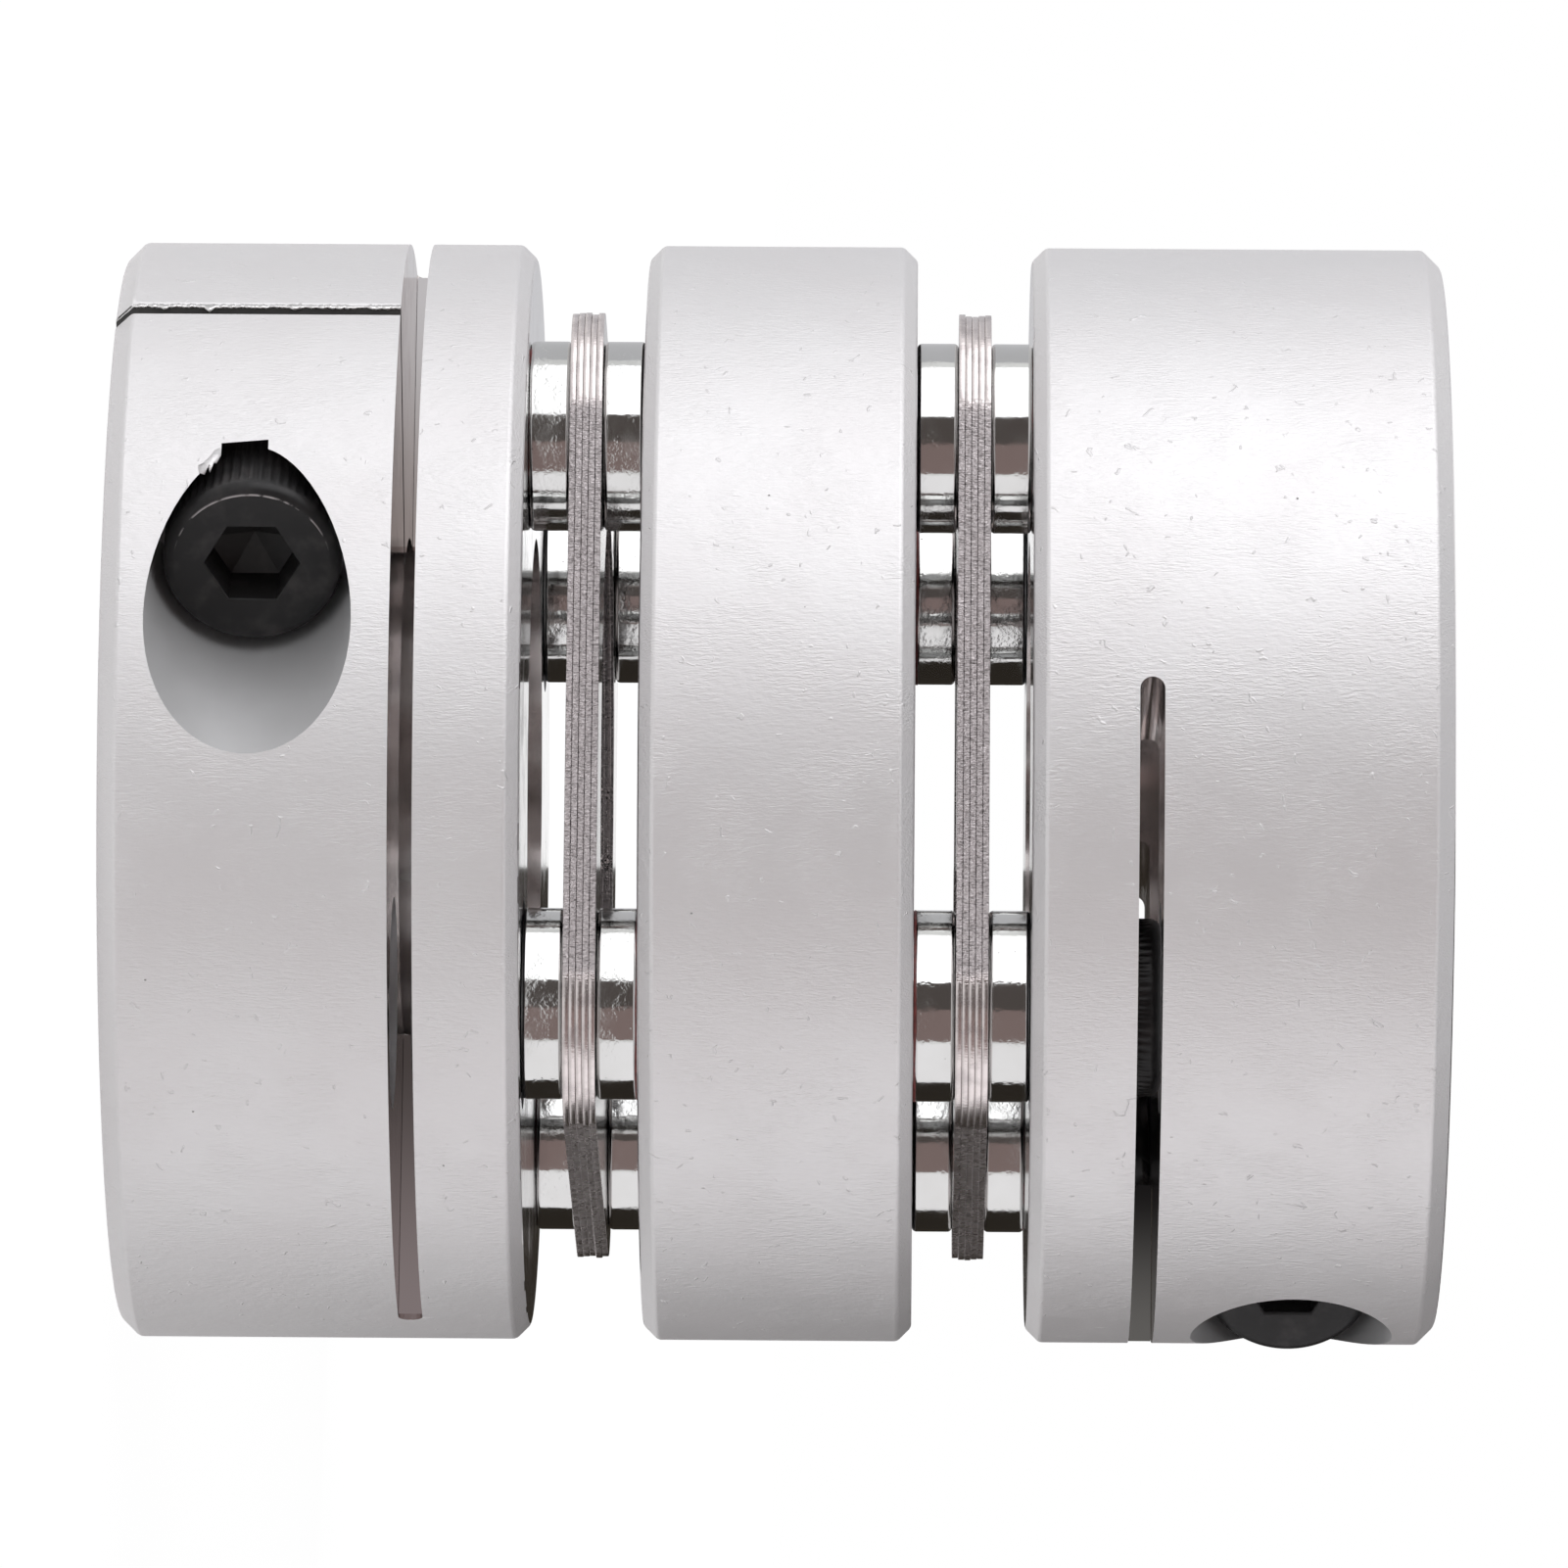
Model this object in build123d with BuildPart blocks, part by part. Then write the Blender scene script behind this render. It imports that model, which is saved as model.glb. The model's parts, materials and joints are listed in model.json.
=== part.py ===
from build123d import *
import os

# Double-disc flexible shaft coupling with clamp hubs. All sizes are in millimetres.
#
# It stands on the outer face of its lower hub. The origin is the centre of the lower bore at that face, +Z runs
# along the axis of the coupling, and both clamp screws are turned from the -Y side.
#
# Each half is a clamp hub and a pack of spring leaves. Four screws cross each pack, with a round collar on either
# side of the leaves. The screws at +X and -X are held in the hub, and their heads sit in clearance holes of the
# spacer. The screws at +Y and -Y are held in the spacer, and their heads sit in clearance holes that run right
# through the hub, so that a key reaches them. Torque crosses the leaves from one pair to the other.
# The upper half is the lower half turned end for end about the Y direction.
#
# To keep the mesh light, the leaves of a pack are one solid, the small round pieces that repeat have 24 sides, and
# threads and the holes that close round them, which stay out of sight, have 12.

# Rings
OUTER_DIA = 82
BORE_DIA = 38
HUB_LENGTH = 30.5
FLANGE_LENGTH = 7.7
SPACER_LENGTH = 20
SPACER_BORE_DIA = 40
OUTER_EDGE_CHAMFER = 1.3
INNER_EDGE_CHAMFER = 1.05
BORE_CHAMFER = 0.5

# Cuts that free the clamp ring: a transverse slot and a radial slit
SLOT_WIDTH = 1.8
SLOT_TO_SLIT_ANGLE = 42
SLOT_PAST_AXIS = 0.4
SLIT_WIDTH = 1.5

# Disc pack
LEAF_COUNT = 5
LEAF_THICKNESS = 0.48
LEAF_BORE_DIA = 42
LEAF_CORNER_RADIUS = 9.2
COLLAR_DIA = 14
COLLAR_THICKNESS = 3.05
PACK_CIRCLE_DIA = 61
SCREWS_PER_PACK = 4
PACK_SCREW_LENGTH = 16

# Socket-head screws, size M8, with their threads as plain cylinders
THREAD_DIA = 8
HEAD_DIA = 13
HEAD_HEIGHT = 8
HEAD_CHAMFER = 0.6
SOCKET_ACROSS_FLATS = 6
SOCKET_DEPTH = 4

# Holes for the screws
THREAD_HOLE_DIA = 8.1
FREE_HOLE_DIA = 9
ACCESS_HOLE_DIA = 15.5

# Sides of the collars and screw heads, and of the threads and their holes
ROUND_SIDES = 24
THREAD_SIDES = 12

# Clamp screw: across the slit, square to it
CLAMP_SCREW_OFFSET = 30.5
CLAMP_SCREW_HEIGHT = 10.75
CLAMP_SCREW_LENGTH = 25
CLAMP_SEAT_DEPTH = 11.5
CLAMP_TAPPED_DEPTH = 18
COUNTERBORE_DIA = 15

# Sizes that follow from the ones above
PACK_THICKNESS = LEAF_COUNT * LEAF_THICKNESS
GAP = PACK_THICKNESS + 2 * COLLAR_THICKNESS
PACK_BOTTOM = HUB_LENGTH + COLLAR_THICKNESS
SPACER_BOTTOM = HUB_LENGTH + GAP
LENGTH = 2 * SPACER_BOTTOM + SPACER_LENGTH
CLAMP_RING_LENGTH = HUB_LENGTH - FLANGE_LENGTH - SLOT_WIDTH
SLOT_HEIGHT = CLAMP_RING_LENGTH + SLOT_WIDTH / 2
TAPPED_DEPTH = FLANGE_LENGTH + SLOT_WIDTH
TURNED_OVER = Location((0, 0, LENGTH), (0, 180, 0))
ALONG_X = 0
ALONG_Y = 90


def screw_places(start_angle, count=2):
    """Places on the screw circle, the first one at the start angle."""
    return PolarLocations(PACK_CIRCLE_DIA / 2, count, start_angle)


def save(piece, name):
    """Labels a finished piece and writes it to its own file."""
    piece.part.label = name
    export_step(piece.part, f"parts/{name}.step")


def save_both_halves(piece, name, number=""):
    """Writes a piece of the lower half, and its twin in the upper half turned end for end."""
    save(piece, f"{name}_lower{number}")
    with BuildPart() as twin:
        with Locations(TURNED_OVER):
            add(piece.part)
    save(twin, f"{name}_upper{number}")


def thread_hole(mode=Mode.SUBTRACT):
    """Draws the hole that closes round a thread. Its flats clear the thread."""
    RegularPolygon(THREAD_HOLE_DIA / 2, THREAD_SIDES, major_radius=False, mode=mode)


def clamp_hub():
    """The hub of the lower half: a flange above the slot, and below it a clamp ring that the slit opens at -X."""
    slot_angle = 180 + SLOT_TO_SLIT_ANGLE
    slot_side = Vector(1, 0, 0).rotate(Axis.Z, slot_angle)
    slot_plane = Plane(origin=(0, 0, SLOT_HEIGHT), x_dir=slot_side, z_dir=slot_side.cross(Vector(0, 0, 1)))
    slot_end = SLOT_WIDTH / 2 - SLOT_PAST_AXIS
    screw_line = Plane(origin=(-CLAMP_SCREW_OFFSET, 0, CLAMP_SCREW_HEIGHT), x_dir=(0, 0, 1), z_dir=(0, -1, 0))

    with BuildPart() as hub:
        with BuildSketch():
            Circle(OUTER_DIA / 2)
            Circle(BORE_DIA / 2, mode=Mode.SUBTRACT)
        extrude(amount=HUB_LENGTH)
        bore_mouth, outer_rim = hub.faces().sort_by(Axis.Z)[0].edges().sort_by(SortBy.RADIUS)
        inner_rim = hub.faces().sort_by(Axis.Z)[-1].edges().sort_by(SortBy.RADIUS)[-1]
        chamfer(bore_mouth, BORE_CHAMFER)
        chamfer(outer_rim, OUTER_EDGE_CHAMFER)
        chamfer(inner_rim, INNER_EDGE_CHAMFER)

        # Pack screws: tapped holes in the flange, and clearance holes through the whole hub.
        with BuildSketch(Plane.XY.offset(HUB_LENGTH)):
            with screw_places(ALONG_X):
                thread_hole(Mode.ADD)
        extrude(amount=-TAPPED_DEPTH, mode=Mode.SUBTRACT)
        with Locations((0, 0, HUB_LENGTH)):
            with screw_places(ALONG_Y):
                Hole(ACCESS_HOLE_DIA / 2)

        # Transverse slot, cut from one side to just past the axis, with a full-radius end.
        with BuildSketch(slot_plane):
            with Locations((slot_end, 0)):
                Circle(SLOT_WIDTH / 2)
                Rectangle(OUTER_DIA, SLOT_WIDTH, align=(Align.MIN, Align.CENTER))
        extrude(amount=OUTER_DIA / 2, both=True, mode=Mode.SUBTRACT)

        # Radial slit through the clamp ring, from the bore to the outside.
        with BuildSketch():
            Rectangle(OUTER_DIA, SLIT_WIDTH, align=(Align.MAX, Align.CENTER))
        extrude(amount=SLOT_HEIGHT, mode=Mode.SUBTRACT)

        # Clamp screw: a counterbored clearance hole to the slit, and a blind tapped hole beyond it.
        with Locations(screw_line.offset(OUTER_DIA / 2)):
            CounterBoreHole(
                radius=FREE_HOLE_DIA / 2,
                counter_bore_radius=COUNTERBORE_DIA / 2,
                counter_bore_depth=OUTER_DIA / 2 - CLAMP_SEAT_DEPTH,
                depth=OUTER_DIA / 2,
            )
        with BuildSketch(screw_line):
            thread_hole(Mode.ADD)
        extrude(amount=-CLAMP_TAPPED_DEPTH, mode=Mode.SUBTRACT)
    return hub


def spacer_ring():
    """The ring between the packs, with clearance holes for the hubs' screws and tapped holes for its own."""
    with BuildPart() as spacer:
        with BuildSketch(Plane.XY.offset(SPACER_BOTTOM)):
            Circle(OUTER_DIA / 2)
            Circle(SPACER_BORE_DIA / 2, mode=Mode.SUBTRACT)
            with screw_places(ALONG_X):
                Circle(ACCESS_HOLE_DIA / 2, mode=Mode.SUBTRACT)
            with screw_places(ALONG_Y):
                thread_hole()
        extrude(amount=SPACER_LENGTH)
        rim_edges = spacer.edges().filter_by(GeomType.CIRCLE).group_by(SortBy.RADIUS)[-1]
        chamfer(rim_edges, INNER_EDGE_CHAMFER)
    return spacer


def disc_pack():
    """The leaves of a pack: squares with round corners centred on the screws, and a round opening in the middle."""
    with BuildPart() as pack:
        with BuildSketch(Plane.XY.offset(PACK_BOTTOM)):
            with screw_places(ALONG_X, SCREWS_PER_PACK):
                Circle(LEAF_CORNER_RADIUS)
            make_hull()
            Circle(LEAF_BORE_DIA / 2, mode=Mode.SUBTRACT)
            with screw_places(ALONG_X, SCREWS_PER_PACK):
                thread_hole()
        extrude(amount=PACK_THICKNESS)
    return pack


def collar(place, bottom):
    """A round collar between the leaves and a ring, around the screw at one place on the screw circle."""
    with BuildPart() as ring:
        with BuildSketch(Plane(place).offset(bottom)):
            RegularPolygon(COLLAR_DIA / 2, ROUND_SIDES)
            thread_hole()
        extrude(amount=COLLAR_THICKNESS)
    return ring


def socket_screw(seat, length):
    """A socket-head screw. The head rests on the seat plane, on the side that the plane faces."""
    with BuildPart() as screw:
        with BuildSketch(seat):
            RegularPolygon(HEAD_DIA / 2, ROUND_SIDES)
        extrude(amount=HEAD_HEIGHT)
        chamfer(screw.faces().sort_by(Axis(seat.origin, seat.z_dir))[-1].edges(), HEAD_CHAMFER)
        with BuildSketch(seat.offset(HEAD_HEIGHT)):
            RegularPolygon(SOCKET_ACROSS_FLATS / 2, 6, major_radius=False)
        extrude(amount=-SOCKET_DEPTH, mode=Mode.SUBTRACT)
        with BuildSketch(seat):
            RegularPolygon(THREAD_DIA / 2, THREAD_SIDES)
        extrude(amount=-length)
    return screw


os.makedirs("parts", exist_ok=True)

save_both_halves(clamp_hub(), "hub")
save(spacer_ring(), "spacer")
save_both_halves(disc_pack(), "disc_pack")

for side_number, side in enumerate(screw_places(ALONG_X, SCREWS_PER_PACK).local_locations, start=1):
    save_both_halves(collar(side, HUB_LENGTH), "hub_side_collar", f"_{side_number}")
    save_both_halves(collar(side, PACK_BOTTOM + PACK_THICKNESS), "spacer_side_collar", f"_{side_number}")

for side_number, side in enumerate(screw_places(ALONG_X).local_locations, start=1):
    seat_in_spacer = Plane(side).offset(SPACER_BOTTOM)
    save_both_halves(socket_screw(seat_in_spacer, PACK_SCREW_LENGTH), "hub_screw", f"_{side_number}")

for side_number, side in enumerate(screw_places(ALONG_Y).local_locations, start=1):
    centre = side.position + Vector(0, 0, HUB_LENGTH)
    seat_in_hub = Plane(origin=centre, x_dir=(1, 0, 0), z_dir=(0, 0, -1))
    save_both_halves(socket_screw(seat_in_hub, PACK_SCREW_LENGTH), "spacer_screw", f"_{side_number}")

clamp_centre = (-CLAMP_SCREW_OFFSET, -CLAMP_SEAT_DEPTH, CLAMP_SCREW_HEIGHT)
clamp_seat = Plane(origin=clamp_centre, x_dir=(0, 0, 1), z_dir=(0, -1, 0))
save_both_halves(socket_screw(clamp_seat, CLAMP_SCREW_LENGTH), "clamp_screw")
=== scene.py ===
"""Looks of a double-disc flexible shaft coupling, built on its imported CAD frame.

The coupling stands on the outer face of its lower hub with its axis along +Z, and every length is in metres.
Its lower half is a slit clamp hub and a pack of spring leaves, and its upper half is the same half turned end
for end about the Y direction. Four screws cross each pack through round collars.
"""

from __future__ import annotations

import json
import logging
import math
import random
from dataclasses import dataclass
from enum import Enum

import bmesh
import bpy
from bmesh.types import BMEdge, BMesh, BMFace, BMLoop, BMVert
from bpy.types import Material, Node, NodeSocket, Object, World
from mathutils import Matrix, Vector

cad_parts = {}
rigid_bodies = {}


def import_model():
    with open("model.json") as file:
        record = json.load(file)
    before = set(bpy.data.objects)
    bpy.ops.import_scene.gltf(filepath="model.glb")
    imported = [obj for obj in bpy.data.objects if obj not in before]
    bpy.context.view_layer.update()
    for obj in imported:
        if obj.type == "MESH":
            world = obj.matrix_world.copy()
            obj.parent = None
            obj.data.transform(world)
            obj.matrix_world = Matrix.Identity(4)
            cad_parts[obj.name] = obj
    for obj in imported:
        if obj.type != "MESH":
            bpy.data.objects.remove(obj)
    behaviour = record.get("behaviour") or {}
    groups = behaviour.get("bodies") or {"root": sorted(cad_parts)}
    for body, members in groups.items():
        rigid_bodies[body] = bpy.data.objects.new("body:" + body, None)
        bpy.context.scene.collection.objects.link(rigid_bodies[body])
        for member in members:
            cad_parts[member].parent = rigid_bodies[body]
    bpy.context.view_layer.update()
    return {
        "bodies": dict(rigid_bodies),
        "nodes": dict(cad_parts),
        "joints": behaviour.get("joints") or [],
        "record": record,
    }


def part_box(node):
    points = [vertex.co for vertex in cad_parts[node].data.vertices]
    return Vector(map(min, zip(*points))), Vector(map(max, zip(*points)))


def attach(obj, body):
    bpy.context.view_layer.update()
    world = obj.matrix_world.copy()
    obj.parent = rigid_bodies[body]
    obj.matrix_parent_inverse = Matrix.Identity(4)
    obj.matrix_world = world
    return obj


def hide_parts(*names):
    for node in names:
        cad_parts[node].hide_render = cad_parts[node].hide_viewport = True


LOG = logging.getLogger("coupling")
MM = 0.001
BODY = "root"
# The vertex attribute of the bare rim on screw heads, partly real wear and partly painted highlight.
WEAR_AND_HIGHLIGHT = "wear_and_highlight"
FULL_TURN = 2 * math.pi
UP = Vector((0, 0, 1))

# Points nearer than WELD are one point, a face within NEAR of a level lies on it, and a face is square to a
# direction where its normal has at least SQUARE of its length along it.
WELD = 0.001 * MM
NEAR = 0.01 * MM
SQUARE = 0.999

# Sizes that several pieces share
OUTER_RADIUS = 41.0 * MM
SLIT_HALF_WIDTH = 0.75 * MM
SCREW_CIRCLE = 30.5 * MM
THREAD_HOLE_RADIUS = 4.1 * MM
HEAD_RADIUS = 6.5 * MM

Point = tuple[float, float]
Spot = tuple[float, float, float]
Colour = tuple[float, float, float]


# Shader building


class Number:
    """A value that changes over a surface: a socket on which Python's arithmetic adds Math nodes."""

    def __init__(self, paint: Paint, socket: NodeSocket) -> None:
        """Wraps a socket of a paint's node tree."""
        self.paint = paint
        self.socket = socket

    def math(self, operation: str, *others: Number | float, first: float | None = None) -> Number:
        """Adds a Math node.

        Args:
            operation: The Math node's operation, such as "ADD".
            others: The operands that follow this value.
            first: A plain number that comes before it.

        Returns:
            The node's result.
        """
        operands = (self, *others) if first is None else (first, self)
        node = self.paint.node("ShaderNodeMath", {"operation": operation}, dict(enumerate(operands)))
        return Number(self.paint, node.outputs[0])

    def __add__(self, other: Number | float) -> Number:
        """The sum."""
        return self.math("ADD", other)

    __radd__ = __add__

    def __sub__(self, other: Number | float) -> Number:
        """The difference."""
        return self.math("SUBTRACT", other)

    def __rsub__(self, other: float) -> Number:
        """The difference from a plain number."""
        return self.math("SUBTRACT", first=other)

    def __mul__(self, other: Number | float) -> Number:
        """The product."""
        return self.math("MULTIPLY", other)

    __rmul__ = __mul__

    def __abs__(self) -> Number:
        """The value without its sign."""
        return self.math("ABSOLUTE")

    def rise(self, start: float, end: float) -> Number:
        """A smooth step of the value.

        Args:
            start: Where the step leaves 0.
            end: Where the step reaches 1. It may lie below start, and then the step falls.

        Returns:
            A value from 0 to 1.
        """
        edges = {"Value": self, "From Min": min(start, end), "From Max": max(start, end)}
        step = self.paint.node("ShaderNodeMapRange", {"interpolation_type": "SMOOTHSTEP"}, edges)
        stepped = Number(self.paint, step.outputs["Result"])
        return stepped if end > start else 1 - stepped


class Paint:
    """The node tree of a material or of the world, and the few ways of adding to it that the finishes use."""

    def __init__(self, owner: Material | World) -> None:
        """Empties the owner's node tree."""
        owner.use_nodes = True
        self.owner = owner
        self.tree = owner.node_tree
        self.tree.nodes.clear()

    @classmethod
    def named(cls, name: str) -> Paint:
        """Starts an empty material of that name."""
        return cls(bpy.data.materials.new(name))

    def node(self, kind: str, settings: dict | None = None, inputs: dict | None = None) -> Node:
        """Adds any node.

        Args:
            kind: The node's type.
            settings: Its properties.
            inputs: Its sockets by name or index, each given a value, a socket or a Number.

        Returns:
            The node.
        """
        made = self.tree.nodes.new(kind)
        for key, value in (settings or {}).items():
            setattr(made, key, value)
        for key, value in (inputs or {}).items():
            if isinstance(value, Number):
                value = value.socket
            if isinstance(value, NodeSocket):
                self.tree.links.new(value, made.inputs[key])
            else:
                made.inputs[key].default_value = value
        return made

    def vector_math(self, operation: str, inputs: dict) -> NodeSocket:
        """The result of a Vector Math node."""
        return self.node("ShaderNodeVectorMath", {"operation": operation}, inputs).outputs[0]

    def place(self, stretch: Spot = (1.0, 1.0, 1.0), vector: NodeSocket | None = None) -> NodeSocket:
        """Object coordinates, or another place, each axis multiplied by its stretch."""
        where = vector or self.node("ShaderNodeTexCoord").outputs["Object"]
        return self.vector_math("MULTIPLY", {0: where, 1: stretch})

    def along(self, axis: str) -> Number:
        """One of the object coordinates, X, Y or Z."""
        return Number(self, self.node("ShaderNodeSeparateXYZ", inputs={0: self.place()}).outputs[axis])

    def noise(
        self, grain: float, stretch: Spot = (1.0, 1.0, 1.0), detail: float = 2.0, seed: float = 0.0,
        vector: NodeSocket | None = None,
    ) -> Number:
        """Smooth noise.

        Args:
            grain: The size of its blots in metres.
            stretch: How often the pattern repeats along each axis, against the grain.
            detail: How many finer layers it has.
            seed: Where along a fourth axis it is cut.
            vector: The place to read it at, where it isn't the object's own.

        Returns:
            A value about 0.5.
        """
        inputs = {"Vector": self.place(stretch, vector), "W": seed, "Scale": 1 / grain, "Detail": detail}
        return Number(self, self.node("ShaderNodeTexNoise", {"noise_dimensions": "4D"}, inputs).outputs[0])

    def warped(self, where: NodeSocket, grain: float, reach: float) -> NodeSocket:
        """A place moved about by noise.

        Args:
            where: The place.
            grain: The size of the noise's blots in metres.
            reach: How far it moves, in metres.

        Returns:
            The moved place.
        """
        blots = self.node("ShaderNodeTexNoise", inputs={"Vector": where, "Scale": 1 / grain}).outputs["Color"]
        middled = self.vector_math("SUBTRACT", {0: blots, 1: (0.5, 0.5, 0.5)})
        shift = self.vector_math("SCALE", {0: middled, "Scale": 2 * reach})
        return self.vector_math("ADD", {0: where, 1: shift})

    def scratches(self, spacing: float, width: float, share: float) -> Number:
        """Short curved scratches in random directions.

        Args:
            spacing: The mean size of the cells on whose borders they lie, in metres.
            width: Their width as a share of the spacing.
            share: The share of the surface that has them.

        Returns:
            1 on a scratch and 0 elsewhere.
        """
        inputs = {"Vector": self.warped(self.place(), 1.5 * MM, 0.6 * MM), "Scale": 1 / spacing}
        borders = self.node("ShaderNodeTexVoronoi", {"feature": "DISTANCE_TO_EDGE"}, inputs)
        line = Number(self, borders.outputs["Distance"]).rise(width, width * 0.2)
        level = 0.5 + (0.5 - share) * 0.5
        return line * self.noise(0.9 * MM, detail=1.0, seed=11.0).rise(level, level + 0.06)

    def specks(self, spacing: float, size: float, share: float) -> Number:
        """Rare round specks.

        Args:
            spacing: The mean distance between the places where a speck may be, in metres.
            size: The speck's radius, in metres.
            share: The share of those places that have one.

        Returns:
            1 on a speck and 0 elsewhere.
        """
        points = self.node("ShaderNodeTexVoronoi", inputs={"Vector": self.place(), "Scale": 1 / spacing})
        colour = self.node("ShaderNodeSeparateColor", inputs={0: points.outputs["Color"]})
        speck = Number(self, points.outputs["Distance"]).rise(size / spacing, 0.3 * size / spacing)
        return speck * Number(self, colour.outputs[0]).rise(share, share * 0.8)

    def mixed(self, factor: Number, first: Colour | NodeSocket, second: Colour) -> NodeSocket:
        """The colour that lies between two others by a factor from 0 to 1."""
        start = first if isinstance(first, NodeSocket) else (*first, 1.0)
        inputs = {0: factor, 6: start, 7: (*second, 1.0)}
        return self.node("ShaderNodeMix", {"data_type": "RGBA"}, inputs).outputs[2]

    def relief(self, height: Number, depth: float) -> NodeSocket:
        """The normal of a surface whose height changes by up to depth, in metres."""
        return self.node("ShaderNodeBump", inputs={"Height": height, "Distance": depth}).outputs["Normal"]

    def surface(self, **sockets: object) -> Material:
        """Ends the material in a Principled shader.

        Args:
            sockets: The shader's sockets, with underscores for spaces.

        Returns:
            The material.
        """
        named = {key.replace("_", " "): value for key, value in sockets.items()}
        named = {key: (*value, 1.0) if isinstance(value, tuple) else value for key, value in named.items()}
        return self.ended(self.node("ShaderNodeBsdfPrincipled", inputs=named))

    def glow(self, tone: Colour | NodeSocket, strength: float = 1.0) -> Node:
        """A shader that sends out its own light."""
        colour = tone if isinstance(tone, NodeSocket) else (*tone, 1.0)
        return self.node("ShaderNodeEmission", inputs={"Color": colour, "Strength": strength})

    def ended(self, shader: Node, output: str = "ShaderNodeOutputMaterial") -> Material | World:
        """Puts a shader on the surface and gives the finished material or world."""
        self.node(output, inputs={"Surface": shader.outputs[0]})
        return self.owner


# Finishes


@dataclass(frozen=True)
class PlainFinish:
    """A finish whose grain gives its relief, and whose stain changes its colour and its gloss.

    The stain follows the grain where it has no size of its own.
    """

    name: str
    colour: Colour
    roughness: float
    metallic: float = 1.0
    grain: float = 0.25 * MM
    stretch: Spot = (1.0, 1.0, 1.0)
    grain_detail: float = 2.0
    depth: float = 0.0
    stain: float = 0.0
    stain_seed: float = 0.0
    stained: Colour | None = None
    stain_levels: Point = (0.45, 0.75)
    unevenness: float = 0.0

    def material(self) -> Material:
        """Builds the finish.

        Returns:
            The material.
        """
        paint = Paint.named(self.name)
        grain = paint.noise(self.grain, self.stretch, self.grain_detail)
        stain = paint.noise(self.stain, detail=3.0, seed=self.stain_seed) if self.stain else grain
        sockets = {"Base_Color": self.colour, "Metallic": self.metallic, "Roughness": self.roughness}
        if self.stained:
            sockets["Base_Color"] = paint.mixed(stain.rise(*self.stain_levels), self.colour, self.stained)
        if self.unevenness:
            sockets["Roughness"] = self.roughness + (stain - 0.5) * self.unevenness
        if self.depth:
            sockets["Normal"] = paint.relief(grain, self.depth)
        return paint.surface(**sockets)


def sawn_aluminium() -> PlainFinish:
    """Aluminium left by the slotting cutter and the boring bar, smoother and darker than the outside."""
    return PlainFinish(
        "sawn_aluminium", colour=(0.84, 0.80, 0.79), roughness=0.14, stretch=(1.0, 1.0, 0.3),
        depth=0.0002 * MM, stain=2.5 * MM, stain_seed=3.0, stained=(0.62, 0.56, 0.55), unevenness=0.06,
    )


def bored_aluminium(name: str, colour: Colour) -> PlainFinish:
    """Aluminium duller than the outside, for the counterbore, and in a darker colour as painted shade for the
    slit's walls.
    """
    return PlainFinish(
        name, colour, roughness=0.55, metallic=0.5, stretch=(0.15, 1.0, 0.15), depth=0.008 * MM,
        stain=1.5 * MM, stain_seed=4.0, unevenness=0.15,
    )


def torn_aluminium() -> PlainFinish:
    """Bare aluminium where a cutter has torn the edge: bright and uneven."""
    return PlainFinish(
        "torn_aluminium", colour=(0.88, 0.87, 0.865), roughness=0.32, metallic=0.9, grain=0.12 * MM,
        grain_detail=3.0, depth=0.008 * MM, unevenness=0.2,
    )


def rolled_steel() -> PlainFinish:
    """The flat faces of the leaves, bright-rolled."""
    return PlainFinish(
        "rolled_steel", colour=(0.72, 0.69, 0.685), roughness=0.12, grain=0.4 * MM, stretch=(1.0, 0.1, 1.0),
        unevenness=0.08,
    )


def threadlocker() -> PlainFinish:
    """Dried red threadlocker."""
    return PlainFinish(
        "red_threadlocker", colour=(0.22, 0.045, 0.04), roughness=0.35, metallic=0.0, grain=0.5 * MM,
        grain_detail=3.0, depth=0.05 * MM, stained=(0.12, 0.03, 0.028), stain_levels=(0.4, 0.7),
    )


@dataclass(frozen=True)
class SatinAluminium:
    """Clear-anodised aluminium with a fine satin, faint draw marks along the axis and a few dark specks."""

    colour: Colour = (0.80, 0.79, 0.795)
    warm_colour: Colour = (0.79, 0.775, 0.78)
    speck_colour: Colour = (0.20, 0.19, 0.18)
    roughness: float = 0.56
    depth: float = 0.05 * MM

    def material(self) -> Material:
        """Builds the finish.

        Returns:
            The material.
        """
        paint = Paint.named("satin_aluminium")
        bent = paint.warped(paint.place(), 0.5 * MM, 0.10 * MM)
        patches = paint.noise(5.0 * MM, seed=1.0).rise(0.38, 0.62)
        drawn = paint.noise(0.13 * MM, stretch=(1.0, 1.0, 0.16), vector=bent)
        dents = paint.noise(0.45 * MM, stretch=(1.0, 1.0, 0.7), seed=3.0)
        curls = paint.scratches(2.2 * MM, 0.040, 0.22)
        specks = paint.specks(2.6 * MM, 0.10 * MM, 0.22)
        cloud = paint.noise(9.0 * MM, seed=7.0)
        height = drawn * (patches * 0.7 + 0.45) + dents * 0.5 + curls * 0.9 - specks * 1.5
        warm = paint.mixed(cloud.rise(0.35, 0.7), self.colour, self.warm_colour)
        colour = paint.mixed(specks * 0.8, warm, self.speck_colour)
        roughness = self.roughness + (cloud - 0.5) * 0.06 + (drawn - 0.5) * 0.12
        normal = paint.relief(height, self.depth)
        return paint.surface(Base_Color=colour, Metallic=0.88, Roughness=roughness, Normal=normal)


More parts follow.
